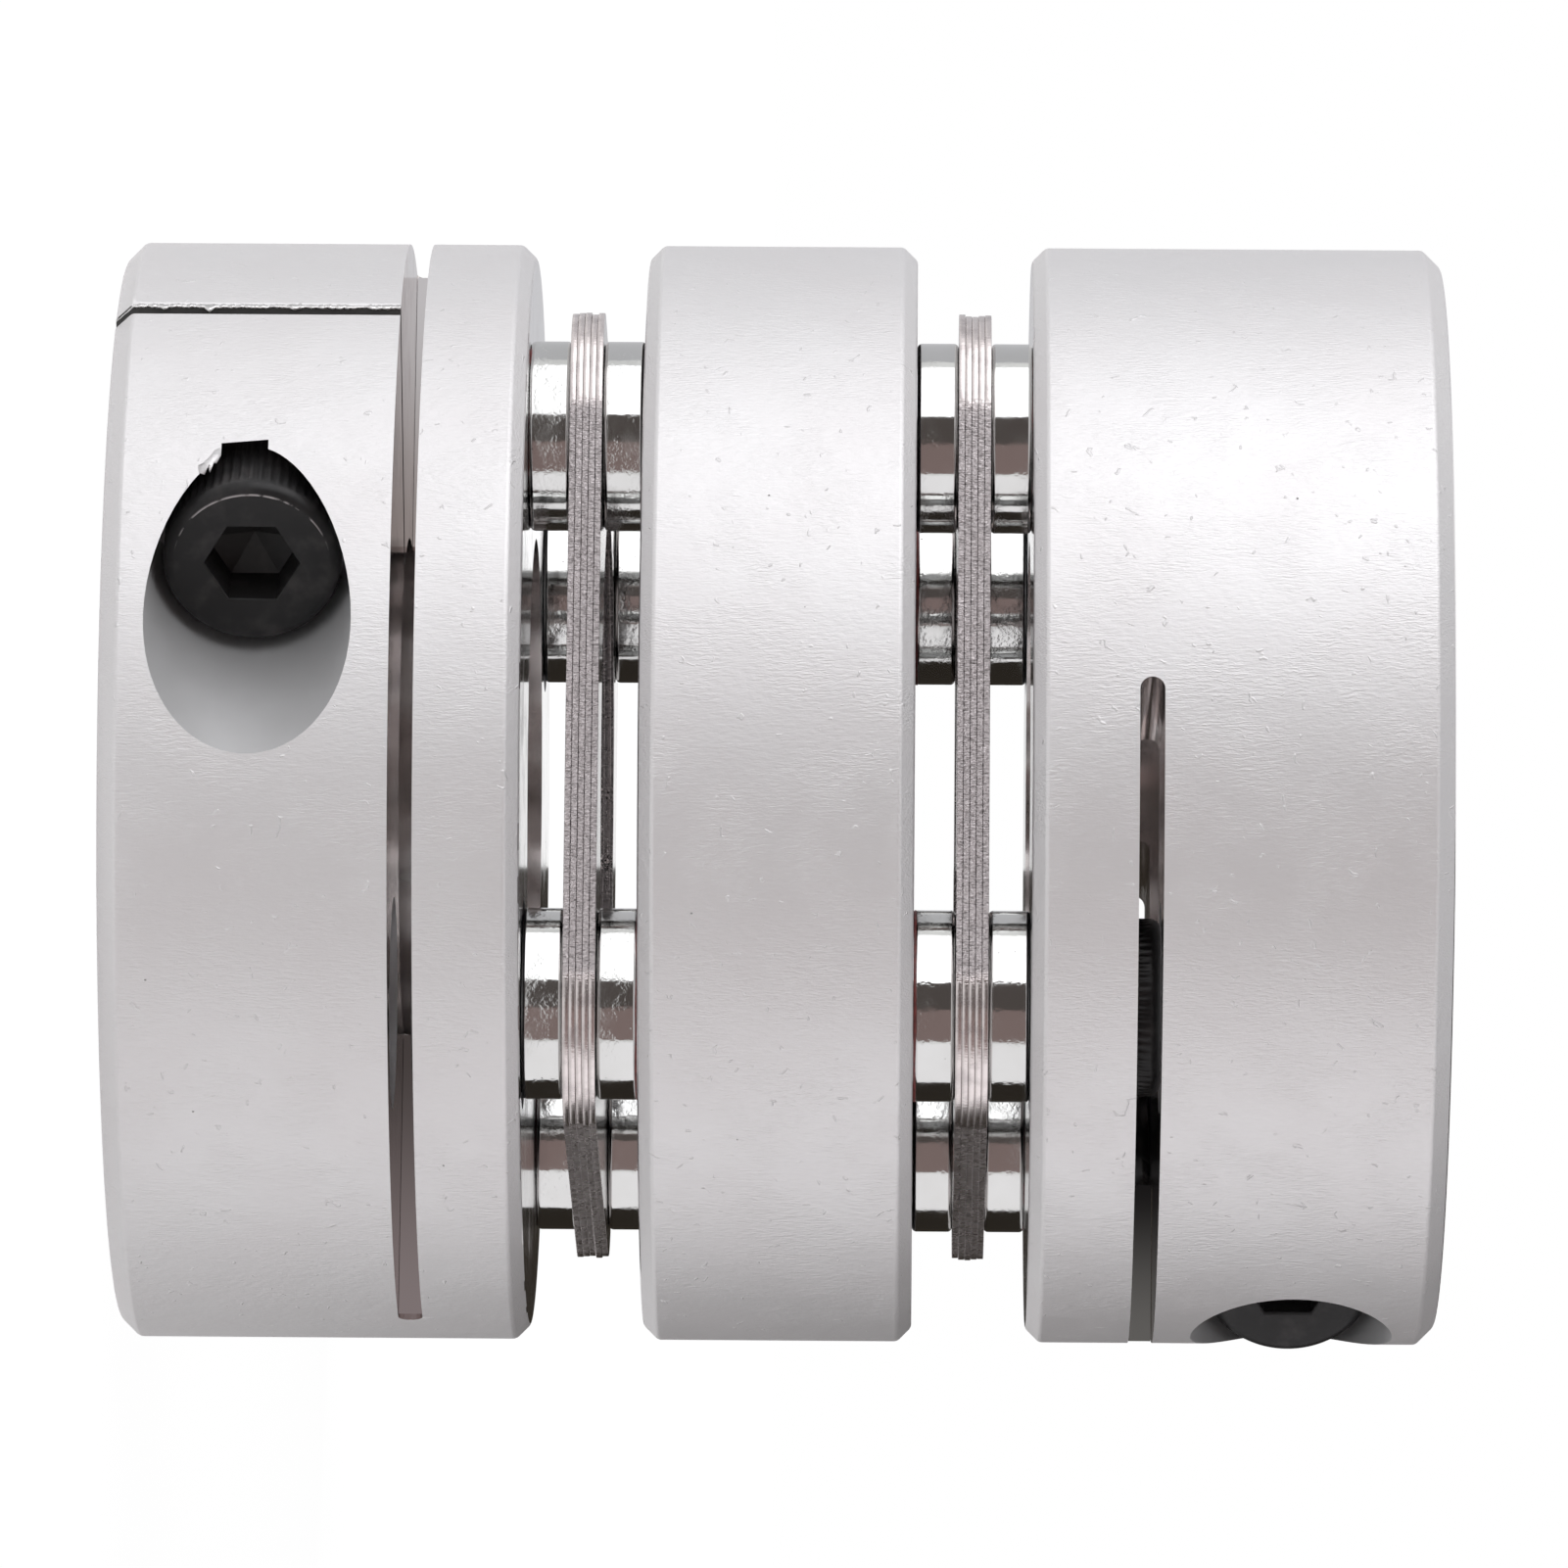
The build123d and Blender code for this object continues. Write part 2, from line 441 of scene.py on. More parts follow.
@dataclass(frozen=True)
class FacedAluminium:
    """The rings' flat faces, turned so smooth that they mirror what stands on them."""

    colour: Colour = (0.80, 0.785, 0.79)
    roughness: float = 0.10
    feed: float = 0.12 * MM
    depth: float = 0.0001 * MM

    def material(self) -> Material:
        """Builds the finish.

        Returns:
            The material.
        """
        paint = Paint.named("faced_aluminium")
        x, y = paint.along("X"), paint.along("Y")
        radius = (x * x + y * y).math("SQRT")
        grooves = (radius * (FULL_TURN / self.feed)).math("SINE")
        roughness = self.roughness + paint.noise(4.0 * MM, seed=2.0).rise(0.4, 0.8) * 0.08
        normal = paint.relief(grooves * 0.5 + paint.noise(0.3 * MM) * 0.5, self.depth)
        return paint.surface(Base_Color=self.colour, Metallic=1.0, Roughness=roughness, Normal=normal)


@dataclass(frozen=True)
class ZincPlate:
    """Bright zinc over turned steel: mirror-like, finely pitted, with faint turning marks."""

    colour: Colour = (0.68, 0.685, 0.68)
    cloudy: Colour = (0.60, 0.60, 0.585)
    speck_colour: Colour = (0.16, 0.15, 0.14)
    roughness: float = 0.07
    depth: float = 0.007 * MM

    def material(self) -> Material:
        """Builds the finish.

        Returns:
            The material.
        """
        paint = Paint.named("zinc_plate")
        pits = paint.noise(0.30 * MM, detail=3.0)
        waves = paint.noise(1.1 * MM, seed=2.0)
        cloud = paint.noise(3.0 * MM, seed=5.0)
        specks = paint.specks(1.1 * MM, 0.09 * MM, 0.25)
        patches = paint.noise(1.6 * MM, detail=1.0, seed=9.0).rise(0.45, 0.60)
        height = pits.rise(0.30, 0.62) * (patches * 0.5 + 0.08) + waves - specks * 1.5
        colour = paint.mixed(specks, paint.mixed(cloud, self.colour, self.cloudy), self.speck_colour)
        roughness = self.roughness + cloud.rise(0.45, 0.75) * 0.08
        normal = paint.relief(height, self.depth)
        return paint.surface(Base_Color=colour, Metallic=1.0, Roughness=roughness, Normal=normal)


@dataclass(frozen=True)
class PunchedSteel:
    """The leaves' edges: smooth at the round corners, and rough where the straight sides were sheared."""

    colour: Colour = (0.76, 0.70, 0.69)
    stained: Colour = (0.58, 0.53, 0.525)
    sheared_colour: Colour = (0.55, 0.51, 0.515)
    tear_colour: Colour = (0.24, 0.22, 0.22)
    corner_start: float = 36.4 * MM
    corner_end: float = 37.4 * MM
    roughest_side: Point = (-38 * MM, -42 * MM)
    depth: float = 0.095 * MM

    def material(self) -> Material:
        """Builds the finish.

        Returns:
            The material.
        """
        paint = Paint.named("punched_steel")
        reach = abs(paint.along("X")).math("MAXIMUM", abs(paint.along("Y")))
        roughest = (paint.along("X") + paint.along("Y")).rise(*self.roughest_side)
        sheared = reach.rise(self.corner_end, self.corner_start) * (roughest * 0.65 + 0.35)
        tears = paint.noise(0.12 * MM, stretch=(1.0, 1.0, 0.25))
        lumps = paint.noise(0.45 * MM, seed=4.0)
        height = (tears.rise(0.3, 0.7) + lumps) * (sheared * 0.95 + 0.05)
        stain = paint.noise(1.3 * MM, detail=3.0, seed=8.0)
        plain = paint.mixed(stain.rise(0.40, 0.70), self.colour, self.stained)
        dull = paint.mixed(sheared, plain, self.sheared_colour)
        colour = paint.mixed(tears.rise(0.50, 0.32) * sheared, dull, self.tear_colour)
        roughness = 0.26 + sheared * 0.04 + (stain - 0.5) * 0.2
        normal = paint.relief(height, self.depth)
        return paint.surface(Base_Color=colour, Metallic=1.0, Roughness=roughness, Normal=normal)


@dataclass(frozen=True)
class BlackOxide:
    """Oiled black-oxide steel, bare at a screw head's rim: partly real wear, partly painted highlight on the
    side the light comes from.
    """

    name: str = "black_oxide"
    colour: Colour = (0.016, 0.0155, 0.016)
    stained: Colour = (0.045, 0.041, 0.041)
    bare_and_lit_colour: Colour = (0.45, 0.42, 0.42)
    roughness: float = 0.42
    depth: float = 0.012 * MM

    def material(self) -> Material:
        """Builds the finish.

        Returns:
            The material.
        """
        paint = Paint.named(self.name)
        grain = paint.noise(0.35 * MM, detail=4.0)
        cloud = paint.noise(2.0 * MM, detail=3.0, seed=6.0)
        # Bare steel on the head's rim: partly real wear and partly painted highlight, strongest on the side
        # the light comes from.
        rubbed_and_lit = Number(paint, paint.node("ShaderNodeAttribute", {"attribute_name": WEAR_AND_HIGHLIGHT}).outputs["Fac"])
        worn_and_lit = rubbed_and_lit.rise(0.3, 0.9) * paint.noise(0.9 * MM, detail=3.0, seed=9.0).rise(0.40, 0.58)
        bare_and_lit = worn_and_lit.math("MAXIMUM", paint.specks(1.4 * MM, 0.09 * MM, 0.20) * 0.5)
        oiled = paint.mixed(cloud.rise(0.45, 0.80), self.colour, self.stained)
        return paint.surface(
            Base_Color=paint.mixed(bare_and_lit, oiled, self.bare_and_lit_colour),
            Metallic=0.25,
            Roughness=self.roughness + (grain - 0.5) * 0.25,
            Specular_IOR_Level=0.4,
            Normal=paint.relief(grain, self.depth),
        )


# Mesh building


def around(angle: float, radius: float) -> Vector:
    """The level vector of that length at an angle from +X."""
    return Vector((math.cos(angle), math.sin(angle), 0)) * radius


def looped(items: list) -> list[tuple]:
    """Each item of a closed row with the next one."""
    return list(zip(items, [*items[1:], items[0]]))


def only(kind: type, geometry: list) -> list:
    """The items of one kind among an operator's results."""
    return [item for item in geometry if isinstance(item, kind)]


def circle(bm: BMesh, centre: Vector, radius: float, steps: int) -> list[BMEdge]:
    """Draws a level circle and gives its edges."""
    place = Matrix.Translation(centre)
    points = bmesh.ops.create_circle(bm, segments=steps, radius=radius, matrix=place)["verts"]
    return list(dict.fromkeys(edge for point in points for edge in point.link_edges))


def pulled(bm: BMesh, edges: list[BMEdge], rise: float = 0.0) -> tuple[list[BMVert], list[BMEdge]]:
    """Extrudes edges along Z.

    Args:
        bm: The mesh.
        edges: The edges to extrude.
        rise: How far.

    Returns:
        The new points and the edges between them.
    """
    geometry = bmesh.ops.extrude_edge_only(bm, edges=edges)["geom"]
    points = only(BMVert, geometry)
    bmesh.ops.translate(bm, verts=points, vec=(0, 0, rise))
    return points, only(BMEdge, geometry)


def thickened(bm: BMesh) -> list[BMVert]:
    """Extrudes every face and gives the new points, which still lie on the old ones."""
    return only(BMVert, bmesh.ops.extrude_face_region(bm, geom=bm.faces[:])["geom"])


def as_object(name: str, bm: BMesh, material: Material | None = None) -> Object:
    """Makes an object of the scene.

    Args:
        name: The name of the object and its mesh.
        bm: The mesh. It is freed.
        material: Its material, if it has one.

    Returns:
        The new object.
    """
    mesh = bpy.data.meshes.new(name)
    bm.to_mesh(mesh)
    bm.free()
    if material:
        mesh.materials.append(material)
    thing = bpy.data.objects.new(name, mesh)
    bpy.context.scene.collection.objects.link(thing)
    return thing


def join(bm: BMesh, part: BMesh) -> None:
    """Adds a part to a mesh and frees the part."""
    mesh = bpy.data.meshes.new("part")
    part.to_mesh(mesh)
    part.free()
    bm.from_mesh(mesh)
    bpy.data.meshes.remove(mesh)


def rounded(corners: list[Point], radius: float, steps: int) -> list[Point]:
    """Rounds the corners of a closed outline.

    Args:
        corners: The outline's corners, in order.
        radius: The radius at every corner.
        steps: How many straight pieces each arc has.

    Returns:
        The outline's points, with an arc in place of each corner.
    """
    outline = []
    for before, corner, after in zip([corners[-1], *corners[:-1]], corners, [*corners[1:], corners[0]]):
        corner_at = Vector(corner)
        towards_before = (Vector(before) - corner_at).normalized()
        towards_after = (Vector(after) - corner_at).normalized()
        half_opening = towards_before.angle(towards_after) / 2
        centre = corner_at + (towards_before + towards_after).normalized() * radius / math.sin(half_opening)
        start = corner_at + towards_before * radius / math.tan(half_opening) - centre
        end = corner_at + towards_after * radius / math.tan(half_opening) - centre
        for step in range(steps + 1):
            spoke = start.lerp(end, step / steps).normalized() * radius
            outline.append(tuple(centre + spoke))
    return outline


def turned_ring(inner: float, outer: float, levels: Point, edge_radius: float, arc: int, steps: int) -> BMesh:
    """Turns a ring with rounded edges about Z.

    Args:
        inner: Its inner radius.
        outer: Its outer radius.
        levels: The heights of its lower and upper face.
        edge_radius: The radius of its edges.
        arc: How many straight pieces each edge's arc has.
        steps: How many steps the turn has.

    Returns:
        The closed ring.
    """
    low, high = levels
    outline = rounded([(inner, low), (outer, low), (outer, high), (inner, high)], edge_radius, arc)
    bm = bmesh.new()
    points = [bm.verts.new((radius, 0.0, height)) for radius, height in outline]
    section = [*points, *(bm.edges.new(pair) for pair in looped(points))]
    bmesh.ops.spin(bm, geom=section, axis=UP, cent=(0, 0, 0), angle=FULL_TURN, steps=steps, use_merge=True)
    bmesh.ops.recalc_face_normals(bm, faces=bm.faces)
    return bm


def softened(bm: BMesh, edges: list[BMEdge], width: float, segments: int = 2) -> list[BMFace]:
    """Bevels some edges.

    Args:
        bm: The mesh.
        edges: The edges to bevel.
        width: How far the bevel reaches from each edge.
        segments: How many faces it has across.

    Returns:
        The bevel's faces.
    """
    bevel = bmesh.ops.bevel(
        bm, geom=edges, offset=width, offset_type="OFFSET", segments=segments, profile=0.5, affect="EDGES",
        clamp_overlap=True, material=-1,
    )
    return bevel["faces"]


def edges_between(bm: BMesh, least: float, most: float) -> list[BMEdge]:
    """The edges whose two faces meet at an angle between least and most degrees."""
    low, high = math.radians(least), math.radians(most)
    return [edge for edge in bm.edges if edge.is_manifold and low < edge.calc_face_angle() < high]


def carved(blank: BMesh, cutters: list[BMesh]) -> BMesh:
    """Cuts closed shapes out of a closed mesh.

    Args:
        blank: The mesh to cut. It is freed, and so are the cutters.
        cutters: The shapes to take away.

    Returns:
        What is left.
    """
    body, *tools = [as_object("carving", shape) for shape in (blank, *cutters)]
    for tool in tools:
        cut = body.modifiers.new("cut", "BOOLEAN")
        cut.operation = "DIFFERENCE"
        cut.solver = "EXACT"
        cut.object = tool
    left = bmesh.new()
    left.from_object(body, bpy.context.evaluated_depsgraph_get())
    for thing in (body, *tools):
        bpy.data.meshes.remove(thing.data)
    return left


class Half(Enum):
    """The two halves of the coupling."""

    LOWER = "lower"
    UPPER = "upper"

    def outwards(self) -> Facing:
        """The way to this half's outer face."""
        return Facing.DOWN if self is Half.LOWER else Facing.UP

    def inwards(self) -> Facing:
        """The way to the coupling's middle."""
        return Facing.UP if self is Half.LOWER else Facing.DOWN


class Facing(Enum):
    """Which way a screw's head faces."""

    UP = (0, 0, 1)
    DOWN = (0, 0, -1)
    FRONT = (0, -1, 0)

    def turn(self) -> Matrix:
        """The rotation that brings +Z to this direction."""
        return UP.rotation_difference(Vector(self.value)).to_matrix().to_4x4()


@dataclass
class Piece:
    """A finished mesh of the coupling, which becomes an object of the scene.

    Its first material is for the faces of index 0, and the others follow in order.
    """

    name: str
    materials: tuple[Material, ...]
    slot: str
    stands_for: tuple[str, ...] = ()

    def made_of(self, bm: BMesh) -> Object:
        """Turns a mesh into this piece, which rides on the coupling's body.

        Args:
            bm: The finished mesh. It is freed.

        Returns:
            The new object.
        """
        thing = as_object(self.name, bm)
        thing.data.shade_smooth()
        for material in self.materials:
            thing.data.materials.append(material)
        weighted = thing.modifiers.new("Weighted normals", "WEIGHTED_NORMAL")
        weighted.keep_sharp = True
        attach(thing, BODY)
        if self.stands_for:
            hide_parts(*self.stands_for)
        LOG.info("%s: %d faces", self.name, len(thing.data.polygons))
        return thing


# The coupling


@dataclass(frozen=True)
class Nick:
    """A small straight-sided piece broken out of an edge, between two corners before its turn."""

    low: Spot
    high: Spot
    lean: float = 0.0
    turn: float = 0.0

    def shape(self) -> BMesh:
        """The broken-out piece, as a block that leans a little along Z.

        Returns:
            Its mesh.
        """
        low, high = (Vector([size * MM for size in corner]) for corner in (self.low, self.high))
        bm = bmesh.new()
        bmesh.ops.create_cube(bm, size=1.0)
        bmesh.ops.scale(bm, verts=bm.verts, vec=high - low)
        for vertex in bm.verts:
            vertex.co.x += self.lean * vertex.co.z
        turn = Matrix.Rotation(math.radians(self.turn), 3, "Z")
        bmesh.ops.rotate(bm, verts=bm.verts, cent=(0, 0, 0), matrix=turn)
        bmesh.ops.translate(bm, verts=bm.verts, vec=(high + low) / 2)
        return bm


@dataclass
class SlitBurr:
    """Ragged metal that the saw pushed up along one edge of a hub's slit."""

    name: str
    finish: Material
    length: float = 21.0 * MM
    chamfer: float = 1.3 * MM
    tear_angle: float = math.radians(30)
    tear_width: float = 0.35 * MM
    thickness: float = 0.09 * MM
    root_height: float = 0.02 * MM
    root_depth: float = 0.08 * MM
    step: float = 0.11 * MM
    evenness: float = 0.40
    widest: float = 0.24 * MM
    deepest: Point = (0.05 * MM, 0.27 * MM)
    flutter: float = 0.05 * MM
    flaps: tuple[Point, ...] = ((3.6, 0.22), (6.9, 0.42), (13.2, 0.20), (19.0, 0.12))
    flap_reach: float = 0.35 * MM

    def section(self, height: float, over: float, back: float, lift: float) -> list[Vector]:
        """The burr's section at a height above the hub's outer face.

        Args:
            height: The height.
            over: How far it hangs over the slit.
            back: How far it lies back over the torn edge.
            lift: How far its tip stands off the torn edge.

        Returns:
            Its four corners.
        """
        slope = Vector((math.sin(self.tear_angle), -math.cos(self.tear_angle), 0))
        off = Vector((slope.y, -slope.x, 0))
        front = max(0.0, self.chamfer - height) - OUTER_RADIUS
        side = SLIT_HALF_WIDTH + self.tear_width * math.cos(self.tear_angle)
        edge = Vector((front, side, height)) + slope * self.tear_width
        root = edge - slope * back + off * self.root_height
        tip = edge + slope * over + off * lift
        return [root, tip, tip - off * self.thickness, edge - slope * back * 0.5 - off * self.root_depth]

    def build(self) -> Object:
        """Draws the burr along the slit.

        Returns:
            The new object.
        """
        chance = random.Random(self.name)
        bm = bmesh.new()
        over, back = 0.06 * MM, 0.10 * MM
        ring: list[BMVert] = []
        for number in range(round(self.length / self.step) + 1):
            height = number * self.step
            over = self.evenness * over + (1 - self.evenness) * chance.uniform(0.0, self.widest)
            back = self.evenness * back + (1 - self.evenness) * chance.uniform(*self.deepest)
            near = [(size * MM, abs(height - place * MM) / self.flap_reach) for place, size in self.flaps]
            flap = sum(size * max(0.0, 1 - away) for size, away in near)
            corners = self.section(height, over + flap, back, chance.uniform(-self.flutter, self.flutter))
            if not ring:
                ring = [bm.verts.new(corner) for corner in corners]
                bm.faces.new(ring)
                continue
            fresh, _ = pulled(bm, [bm.edges.get(pair) for pair in looped(ring)])
            ring = [next(e.other_vert(v) for e in v.link_edges if e.other_vert(v) in fresh) for v in ring]
            for vertex, corner in zip(ring, corners):
                vertex.co = corner
        bm.faces.new(ring)
        bmesh.ops.recalc_face_normals(bm, faces=bm.faces)
        return Piece(self.name, (self.finish,), "aluminium").made_of(bm)


@dataclass
class TornFlap:
    """A thin chip that hangs over the edge of the counterbore, still joined to the hub.

    Its outline is in millimetres: heights, and places along Y.
    """

    name: str
    finish: Material
    outline: tuple[Point, ...] = (
        (6.95, -37.05), (7.35, -37.0), (7.55, -37.3), (7.75, -37.1), (8.0, -37.45), (8.2, -37.4),
        (8.5, -37.75), (8.45, -38.0), (8.05, -37.9), (7.6, -37.6), (7.2, -37.45), (6.85, -37.3),
    )
    thickness: float = 0.12 * MM
    wave: float = 0.10 * MM

    def build(self) -> Object:
        """Bends the chip's outline over the hub's outside.

        Returns:
            The new object.
        """
        bm = bmesh.new()
        points = []
        for height, side in self.outline:
            lift = self.wave * (1 + math.sin(9 * height)) / 2
            reach = math.sqrt((OUTER_RADIUS + lift) ** 2 - (side * MM) ** 2)
            points.append(bm.verts.new((side * MM, -reach, height * MM)))
        bmesh.ops.poke(bm, faces=[bm.faces.new(points)])
        for vertex in thickened(bm):
            vertex.co.xy *= 1 - self.thickness / OUTER_RADIUS
        bmesh.ops.recalc_face_normals(bm, faces=bm.faces)
        return Piece(self.name, (self.finish,), "aluminium").made_of(bm)


@dataclass(frozen=True)
class RingFinishes:
    """What the parts of a hub or of the spacer are finished with."""

    outside: Material
    sawn: Material
    faced: Material
    bored: Material
    # The slit's finish is a much darker copy of the bored one: painted shade for the narrow slit.
    slit: Material


@dataclass
class MachinedRing:
    """A hub or the spacer: the CAD ring with its edges broken as the lathe and the deburring wheel do."""

    node: str
    finishes: RingFinishes
    counterbore: Point | None = None
    nicks: tuple[Nick, ...] = ()
    counterbore_radius: float = 7.5 * MM
    seat_level: float = -11.4 * MM
    chamfer_softening: float = 0.22 * MM
    mouth_softening: float = 0.0
    edge_softening: float = 0.14 * MM
    rim_radius: float = 40.9 * MM
    bore_limit: float = 19.3 * MM
    middle_level: float = 50 * MM
    flat_angle: float = math.radians(0.4)
    chamfer_angles: Point = (25, 60)
    edge_angles: Point = (70, 130)

    def build(self, frame: dict) -> Object:
        """Makes the ring.


        Returns:
            The new object.
        """
        bm = bmesh.new()
        bm.from_mesh(frame["nodes"][self.node].data)
        bmesh.ops.remove_doubles(bm, verts=bm.verts, dist=WELD)
        if self.nicks:
            bm = carved(bm, [nick.shape() for nick in self.nicks])
        bmesh.ops.dissolve_limit(bm, angle_limit=self.flat_angle, verts=bm.verts, edges=bm.edges)
        groups = (self.sawn_faces(bm), self.faced_faces(bm), self.bored_faces(bm), self.slit_faces(bm))
        for index, faces in enumerate(groups, start=1):
            for face in faces:
                face.material_index = index
        turned_rims = [edge for edge in edges_between(bm, *self.chamfer_angles) if self.is_turned(edge)]
        made = softened(bm, turned_rims, self.chamfer_softening, segments=3)
        mouth = []
        if self.mouth_softening:
            mouth = softened(bm, self.slot_mouth(bm), self.mouth_softening, segments=1)
        for face in mouth:
            face.material_index = 0
        made += softened(bm, edges_between(bm, *self.edge_angles), self.edge_softening)
        for vertex in bm.verts:
            vertex.co.xy *= min(1.0, OUTER_RADIUS / max(vertex.co.xy.length, 1 * MM))
        bm.normal_update()
        bm.faces.index_update()
        rounded_off, flared = ({face.index for face in faces if face.is_valid} for faces in (made, mouth))
        corners = [corner for face in bm.faces for corner in face.loops]
        normals = [self.corner_normal(corner, rounded_off, flared) for corner in corners]
        materials = tuple(vars(self.finishes).values())
        ring = Piece(f"{self.node}_ring", materials, "aluminium", (self.node,)).made_of(bm)
        ring.modifiers.clear()
        ring.data.normals_split_custom_set(normals)
        return ring

    def sawn_faces(self, bm: BMesh) -> list[BMFace]:
        """The walls and the floor of the transverse slot, inside the hub's length, and the bore's wall.

        Args:
            bm: The ring.

        Returns:
            Its sawn faces, or none where it has no slot.
        """
        low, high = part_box(self.node)
        flats = [face for face in bm.faces if abs(face.normal.z) > SQUARE]
        levels = sorted({round(face.calc_center_median().z, 6) for face in flats})
        inside = [level for level in levels if low.z + 1 * MM < level < high.z - 1 * MM]
        if not inside:
            return []
        bore = [face for face in bm.faces if all(v.co.xy.length < self.bore_limit for v in face.verts)]
        least, most = inside[0] - WELD, inside[-1] + WELD
        slot = [face for face in bm.faces if all(least < v.co.z < most for v in face.verts)]
        return bore + [face for face in slot if any(v.co.xy.length < self.rim_radius for v in face.verts)]

    def slot_mouth(self, bm: BMesh) -> list[BMEdge]:
        """The outer edge of the transverse slot's wall on the flange's side.

        Args:
            bm: The ring, with its sawn faces marked.

        Returns:
            The edges of that wall at the outside.
        """
        edges = [e for e in bm.edges if sum(face.material_index == 1 for face in e.link_faces) == 1]
        rim = [e for e in edges if e.is_manifold and all(v.co.xy.length > self.rim_radius for v in e.verts)]
        low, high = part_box(self.node)
        away = high.z if low.z > self.middle_level else low.z
        walls = sorted({round(e.verts[0].co.z, 6) for e in rim}, key=lambda z: abs(z - away))
        return [e for e in rim if walls and all(abs(v.co.z - walls[0]) < 1.0 * MM for v in e.verts)]

    def slit_faces(self, bm: BMesh) -> list[BMFace]:
        """The walls of a hub's slit."""
        across = [face for face in bm.faces if abs(face.normal.y) > SQUARE]
        return [face for face in across if abs(abs(face.calc_center_median().y) - SLIT_HALF_WIDTH) < NEAR]

    def faced_faces(self, bm: BMesh) -> list[BMFace]:
        """The ring's two flat faces."""
        levels = [corner.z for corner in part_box(self.node)]
        flats = [face for face in bm.faces if abs(face.normal.z) > SQUARE]
        return [f for f in flats if min(abs(f.calc_center_median().z - level) for level in levels) < NEAR]

    def bored_faces(self, bm: BMesh) -> list[BMFace]:
        """The wall and the seat of the clamp screw's counterbore.

        Args:
            bm: The ring.

        Returns:
            Their faces, or none where it has no counterbore.
        """
        if self.counterbore is None:
            return []
        x, z = self.counterbore
        limit = self.counterbore_radius + 0.05 * MM
        front = [face for face in bm.faces if max(v.co.y for v in face.verts) < self.seat_level]
        return [face for face in front if max(math.hypot(v.co.x - x, v.co.z - z) for v in face.verts) < limit]

    @staticmethod
    def is_turned(edge: BMEdge) -> bool:
        """Whether an edge is part of a circle about the coupling's axis."""
        first, second = (vertex.co for vertex in edge.verts)
        return abs(first.z - second.z) < WELD and abs(first.xy.length - second.xy.length) < NEAR

    def corner_normal(self, corner: BMLoop, rounded_off: set[int], flared: set[int]) -> Vector:
        """The normal of any face at one of its corners.

        Args:
            corner: The face's corner.
            rounded_off: The numbers of the faces that softening made.
            flared: The numbers of the faces at the slot's flared mouth, which shine like the outside.

        Returns:
            The face's own smooth normal, or on a softened edge that of the face that it runs into.
        """
        if corner.face.index in flared:
            return Vector((corner.vert.co.x, corner.vert.co.y, 0)).normalized()
        if corner.face.index not in rounded_off:
            return self.face_normal(corner, rounded_off)
        neighbours = [other for other in corner.vert.link_loops if other.face.index not in rounded_off]
        if not neighbours:
            return corner.vert.normal.copy()
        nearest = max(neighbours, key=lambda other: other.face.normal.dot(corner.face.normal))
        return self.face_normal(nearest, rounded_off)

    @staticmethod
    def face_normal(corner: BMLoop, rounded_off: set[int]) -> Vector:
        """The smooth normal of an original face at one of its corners.

        Args:
            corner: The face's corner.
            rounded_off: The numbers of the faces that softening made.

        Returns:
            The normal of the true surface there.
        """
        flat = corner.face.normal
        if abs(flat.z) > SQUARE:
            return flat.copy()
        outwards = flat.xy.dot(corner.face.calc_center_median().xy.normalized())
        place = corner.vert.co.xy
        if abs(outwards) > SQUARE * flat.xy.length and place.length > 1 * MM:
            level = place.normalized() * math.copysign(flat.xy.length, outwards)
            return Vector((level.x, level.y, flat.z))
        total = Vector()
        for other in corner.vert.link_loops:
            if other.face.index not in rounded_off and other.face.normal.dot(flat) > 0.9:
                total += other.face.normal * other.calc_angle()
        return total.normalized()


